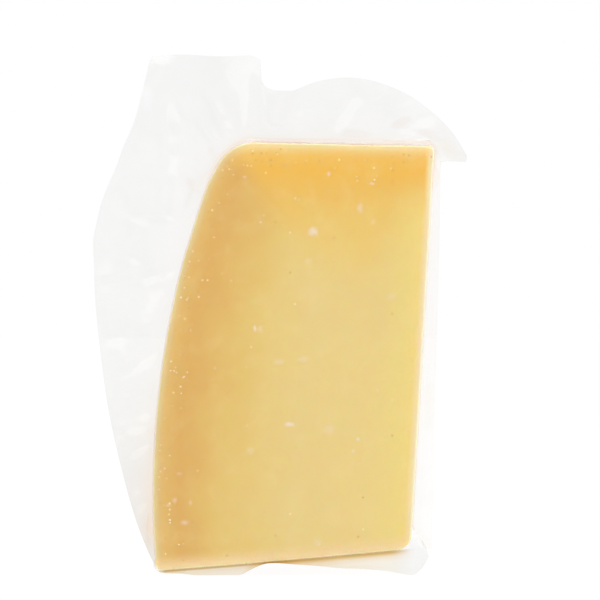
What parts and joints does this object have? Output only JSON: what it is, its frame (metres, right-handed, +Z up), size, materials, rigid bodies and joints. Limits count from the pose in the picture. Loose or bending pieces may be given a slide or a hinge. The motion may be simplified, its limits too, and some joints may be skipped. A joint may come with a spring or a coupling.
{
  "type": "parmesan chunk",
  "caption": "Chunk of hard grating cheese with its rind, cut from the upper half of a wheel, upright in a clear vacuum pouch whose welded edges stand out round it.",
  "frame": {"origin": "on the surface the pack stands on, under the middle of its bounding box", "axes": "+Z up; -Y towards the viewer of the large flat cut face; -X towards the wheel's barrel-shaped rind, +X towards the wheel's middle"},
  "size_m": [0.0974, 0.0396, 0.1338],
  "materials": {
    "cheese": "firm pale yellow cheese paste, browner towards the rind, under clear film",
    "film": "clear glossy vacuum film"
  },
  "bodies": {
    "root": {"cheese_chunk": "cheese", "film_pouch": "film"}
  },
  "joints": []
}
